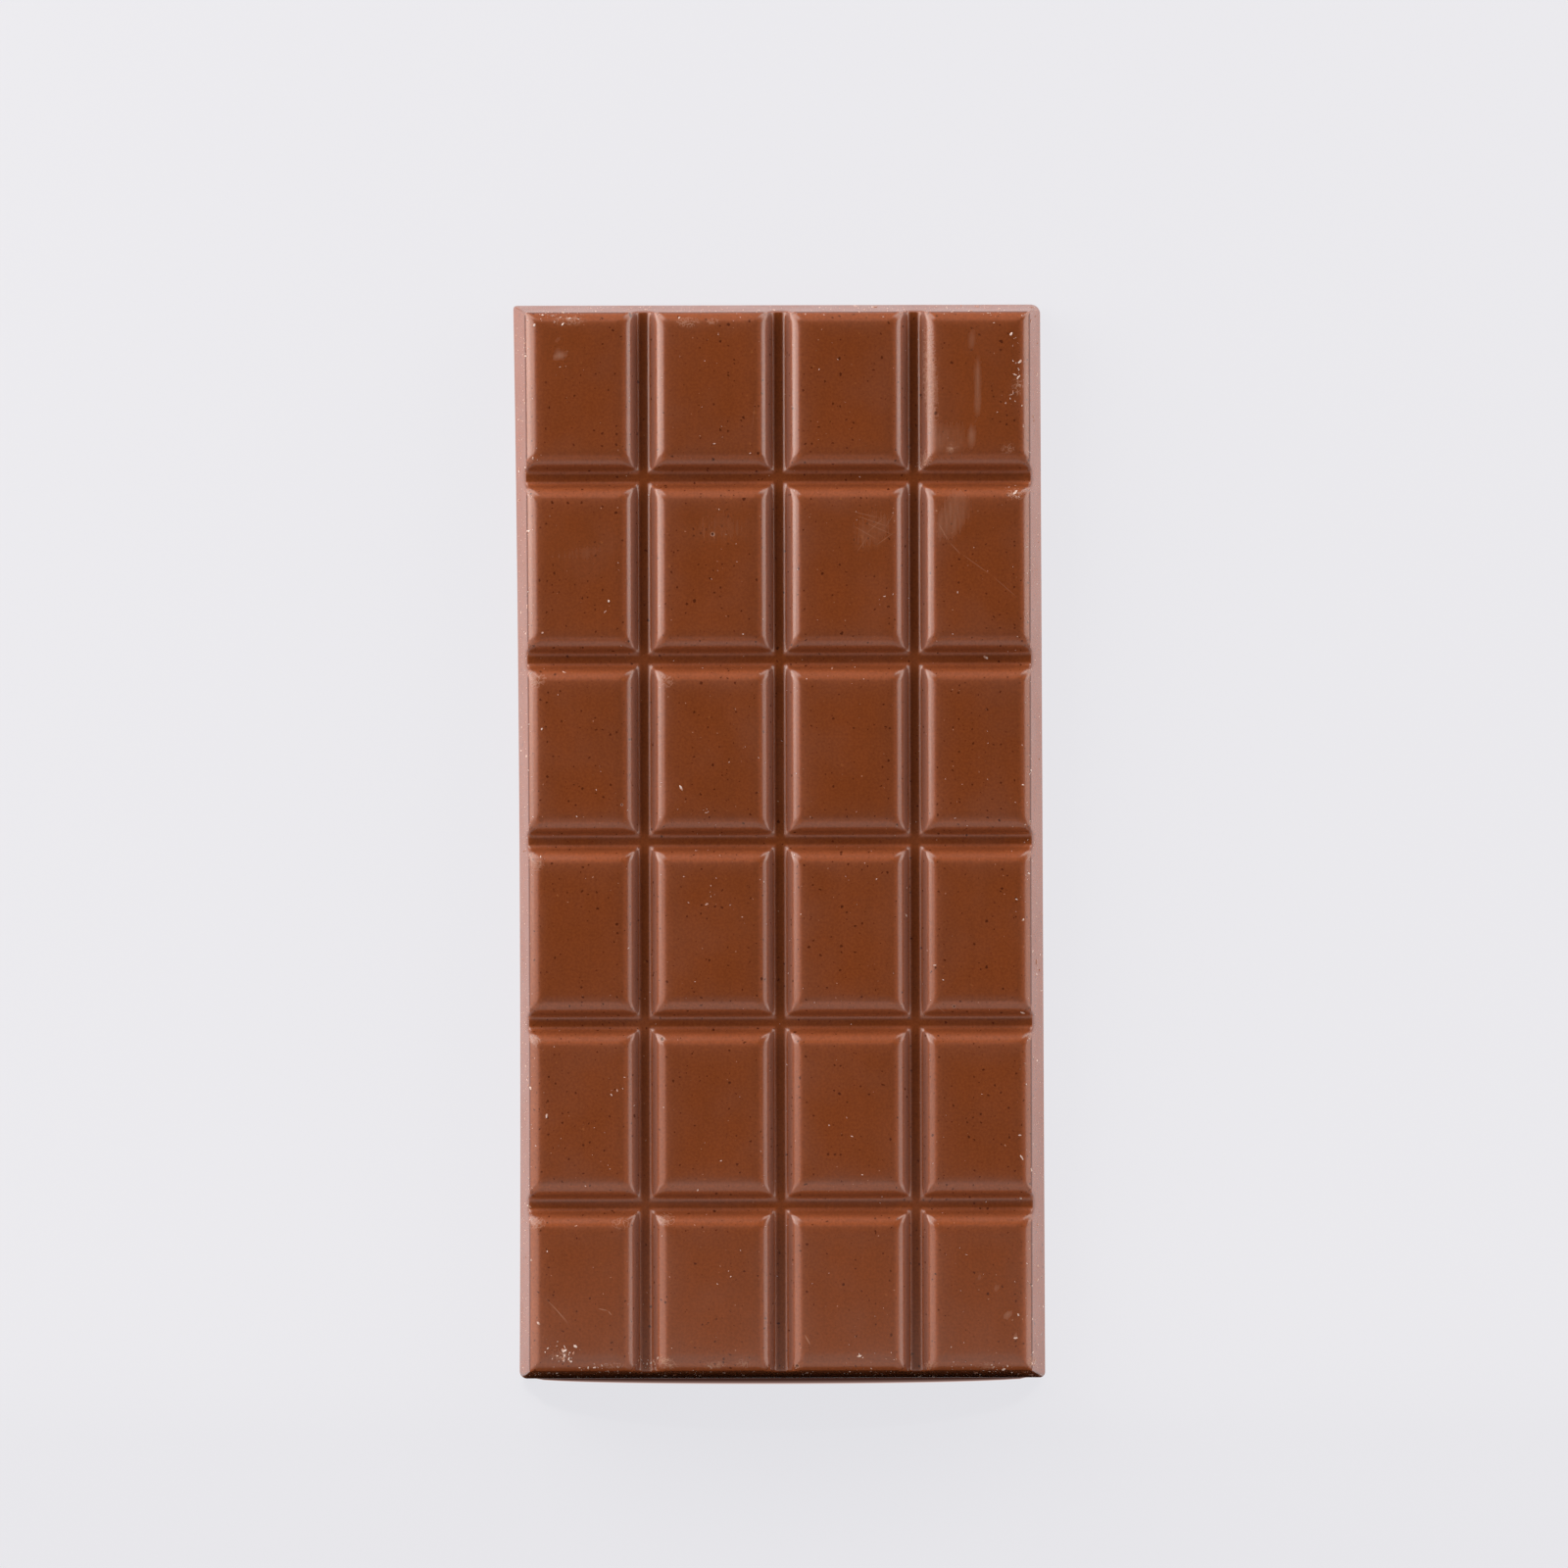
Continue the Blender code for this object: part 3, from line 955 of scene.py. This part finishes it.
def matt(name, colour, glow, strength):
    """A finish without gloss, which may glow evenly by itself."""
    material = bpy.data.materials.new(name)
    material.use_nodes = True
    shader = material.node_tree.nodes["Principled BSDF"]
    shader.inputs["Base Color"].default_value = colour
    shader.inputs["Roughness"].default_value = 1.0
    shader.inputs["Specular IOR Level"].default_value = 0.0
    shader.inputs["Emission Color"].default_value = glow
    shader.inputs["Emission Strength"].default_value = strength
    return material


def table_top():
    """A level table top, which glows a little so that it stays evenly pale."""
    mesh = bpy.data.meshes.new("table_top")
    half = TABLE / 2
    corners = ((-half, -half), (half, -half), (half, half), (-half, half))
    mesh.from_pydata([(x, y, TABLE_HEIGHT) for x, y in corners], [], [(0, 1, 2, 3)])
    mesh.materials.append(matt("table_top", TABLE_GREY, PALE_GLOW, 0.94))
    return bpy.data.objects.new("table_top", mesh)


table = table_top()
bpy.context.scene.collection.objects.link(table)


def backdrop():
    """A pale paper dome far round the table, there for level views only. It throws no light on the bar."""
    bm = bmesh.new()
    bmesh.ops.create_uvsphere(bm, u_segments=48, v_segments=24, radius=TABLE * 0.48)
    mesh = bpy.data.meshes.new("backdrop")
    bm.to_mesh(mesh)
    bm.free()
    mesh.shade_smooth()
    mesh.materials.append(matt("backdrop", BLACK, PALE_GLOW, 0.97))
    return bpy.data.objects.new("backdrop", mesh)


dome = backdrop()
dome.visible_diffuse = dome.visible_glossy = dome.visible_shadow = False
bpy.context.scene.collection.objects.link(dome)


LOWER_END = -BAR["Length"] / 2


def strip(name, half, parts, section):
    """A strip along the bar's lower end. Its section gives points of y and z for a place from -1 to 1."""
    verts, faces = [], []
    for i in range(parts + 1):
        place = 2 * i / parts - 1
        verts += [(half * place, y, z) for y, z in section(place)]
    row = len(section(0.0))
    for i in range(0, row * parts, row):
        faces += [(i + j, i + j + 1, i + j + row + 1, i + j + row) for j in range(row - 1)]
    mesh = bpy.data.meshes.new(name)
    mesh.from_pydata(verts, [], faces)
    return mesh


# The contact shade: its greatest width, how far under the bar it begins, where that width counts from, its
# height over the table, and its lines as shares of the width, each with how dense the shade is there.
SHADE_WIDTH = 0.0012
SHADE_UNDER = 0.0007
SHADE_START = 0.0003
SHADE_HEIGHT = 0.0002
SHADE_LINES = ((0.50, 0.985), (0.80, 0.86), (1.0, 0.0))
SHADE_PARTS = 32


def shade_section(place):
    """The shade's lines at one place along it. It narrows towards its ends."""
    width = SHADE_WIDTH * (1 - place**2) ** 0.4
    lines = [(LOWER_END + SHADE_START - width * share, SHADE_HEIGHT) for share, _ in SHADE_LINES]
    return [(LOWER_END + SHADE_UNDER, SHADE_HEIGHT)] + lines


def contact_shade():
    """The thin brown shade where the bar's lower end meets the table, fading outwards."""
    mesh = strip("contact_shade", BAR["Width"] / 2 - MM, SHADE_PARTS, shade_section)
    dense = [1.0] + [density for _, density in SHADE_LINES]
    paint_values(mesh, "shade", np.array(dense * (SHADE_PARTS + 1)))
    material = matt("contact_shade", BLACK, BLACK, 1.0)
    shader = material.node_tree.nodes["Principled BSDF"]
    depth = painted(material.node_tree, "shade")
    feed(blend(material.node_tree, depth, SHADE_OUTSIDE, SHADE_INSIDE), shader.inputs["Emission Color"])
    feed(depth, shader.inputs["Alpha"])
    mesh.materials.append(material)
    return bpy.data.objects.new("contact_shade", mesh)


shade = contact_shade()
shade.visible_diffuse = shade.visible_glossy = shade.visible_shadow = False
bpy.context.scene.collection.objects.link(shade)


# The flag: how far it reaches at its ends, how much further in its middle, the height of its foot and of its
# top, where its foot begins, and how far out its visor ends.
FLAG_REACH = 0.0010
FLAG_BOW = 0.0068
FLAG_FOOT = 0.0003
FLAG_TOP = 0.0095
FLAG_START = 0.0003
VISOR_END = 0.0018
FLAG_PARTS = 24


def flag_section(place):
    """The folded card at one place along it. It bows away from the bar."""
    outer = LOWER_END - FLAG_REACH - FLAG_BOW * math.sqrt(1 - place**2)
    foot = [(LOWER_END + FLAG_START, FLAG_FOOT), (outer, FLAG_FOOT)]
    return foot + [(outer, FLAG_TOP), (LOWER_END - VISOR_END, FLAG_TOP)]


def black_flag():
    """Black card folded along the bar's lower end: a bowed foot on the table, a riser and a visor."""
    mesh = strip("black_flag", BAR["Width"] / 2, FLAG_PARTS, flag_section)
    mesh.materials.append(matt("black_flag", CARD_BLACK, BLACK, 0.0))
    return bpy.data.objects.new("black_flag", mesh)


flag = black_flag()
flag.visible_camera = False
bpy.context.scene.collection.objects.link(flag)


# Lamps hang this far clear of the table, so that they don't cut into it.
LAMP_LIFT = 0.0002


def softbox(name, foot, faces, width, height, radiance):
    """An upright softbox of even brightness, given by the middle of its lower edge and the point it faces."""
    light = bpy.data.lights.new(name, "AREA")
    light.shape = "RECTANGLE"
    light.size = width
    light.size_y = height
    light.energy = radiance * math.pi * width * height
    light.color = WARM_WHITE
    lamp = bpy.data.objects.new(name, light)
    lamp.location = Vector(foot) + Vector((0.0, 0.0, height / 2 + LAMP_LIFT))
    lamp.rotation_euler = (Vector(faces) - Vector(foot)).to_track_quat("-Z", "Y").to_euler()
    lamp.visible_camera = False
    bpy.context.scene.collection.objects.link(lamp)


# Each softbox: the middle of its lower edge, the point it faces, its width, height and radiance. The low one
# stands just in front of the left one and makes the foot of it brighter.
softbox("left_softbox", (-0.45, 0.275, 0.0), (1.0, 0.275, 0.0), 0.45, 0.55, 3.8)
softbox("left_low_softbox", (-0.449, 0.235, 0.02), (1.0, 0.235, 0.02), 0.51, 0.24, 2.5)
softbox("left_back_softbox", (-0.30, 0.50, 0.0), (-0.30, -1.0, 0.0), 0.30, 0.50, 3.8)
softbox("left_fill", (-0.45, -0.15, 0.0), (1.0, -0.15, 0.0), 0.40, 0.55, 1.2)
softbox("right_softbox", (0.45, 0.275, 0.0), (-1.0, 0.275, 0.0), 0.45, 0.31, 3.7)
softbox("right_back_softbox", (0.30, 0.50, 0.0), (0.30, -1.0, 0.0), 0.30, 0.36, 3.7)
softbox("right_fill", (0.45, -0.15, 0.0), (-1.0, -0.15, 0.0), 0.40, 0.31, 1.9)
softbox("back_fill", (0.0, 0.50, 0.0), (0.0, -1.0, 0.0), 0.30, 0.50, 0.2)
softbox("front_card", (0.0, -0.086, 0.012), (0.0, 1.0, 0.012), 0.60, 0.09, 0.70)
softbox("front_card_top", (0.0, -0.086, 0.10), (0.0, 1.0, 0.10), 0.60, 0.20, 0.21)

world = bpy.data.worlds.new("dark_studio")
world.use_nodes = True
world.node_tree.nodes["Background"].inputs["Color"].default_value = (0.02, 0.02, 0.021, 1.0)
bpy.context.scene.world = world
